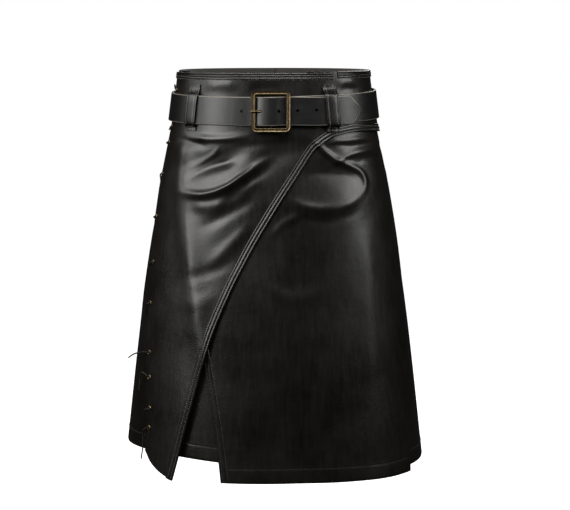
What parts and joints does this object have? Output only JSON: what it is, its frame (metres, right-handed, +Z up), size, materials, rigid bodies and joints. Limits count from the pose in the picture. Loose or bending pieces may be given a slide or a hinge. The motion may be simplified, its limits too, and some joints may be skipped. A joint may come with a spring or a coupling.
{
  "type": "leather kilt",
  "caption": "Wrap kilt in leather, worn shape: flared skirt open at waist and hem, diagonal front apron laced at one side, buckled belt in loops.",
  "frame": {"origin": "middle of the waist at the height of the belt's middle, on the garment's upright axis", "axes": "+Z up along the wearer's axis, -Y towards the front, +X towards the wearer's left"},
  "size_m": [0.4502, 0.3509, 0.591],
  "materials": {
    "leather": "smooth black garment leather, semi-gloss",
    "belt_leather": "smooth black strap leather, semi-gloss",
    "brass": "aged brass, lightly brushed",
    "lace": "dull dark leather thong"
  },
  "bodies": {
    "root": {"over_apron": "leather", "under_apron": "leather", "side_right_panel": "leather", "back_right_panel": "leather", "back_left_panel": "leather", "waistband_front": "leather", "waistband_left": "leather", "waistband_right": "leather", "waist_edge_front": "leather", "waist_edge_left": "leather", "waist_edge_right": "leather", "over_apron_edge": "leather", "under_apron_edge": "leather", "eyelet_01": "brass", "eyelet_02": "brass", "eyelet_03": "brass", "eyelet_04": "brass", "eyelet_05": "brass", "eyelet_06": "brass", "eyelet_07": "brass", "eyelet_08": "brass", "eyelet_09": "brass", "eyelet_10": "brass", "eyelet_11": "brass", "lace_upper": "lace", "lace_lower": "lace", "lace_end_upper": "lace", "lace_end_middle": "lace", "lace_end_bottom": "lace", "belt": "belt_leather", "buckle_frame": "brass", "buckle_tongue": "brass", "belt_loop_front_right": "leather", "belt_loop_front_left": "leather", "belt_loop_back_left": "leather", "belt_loop_back_middle": "leather", "belt_loop_back_right": "leather"}
  },
  "joints": []
}
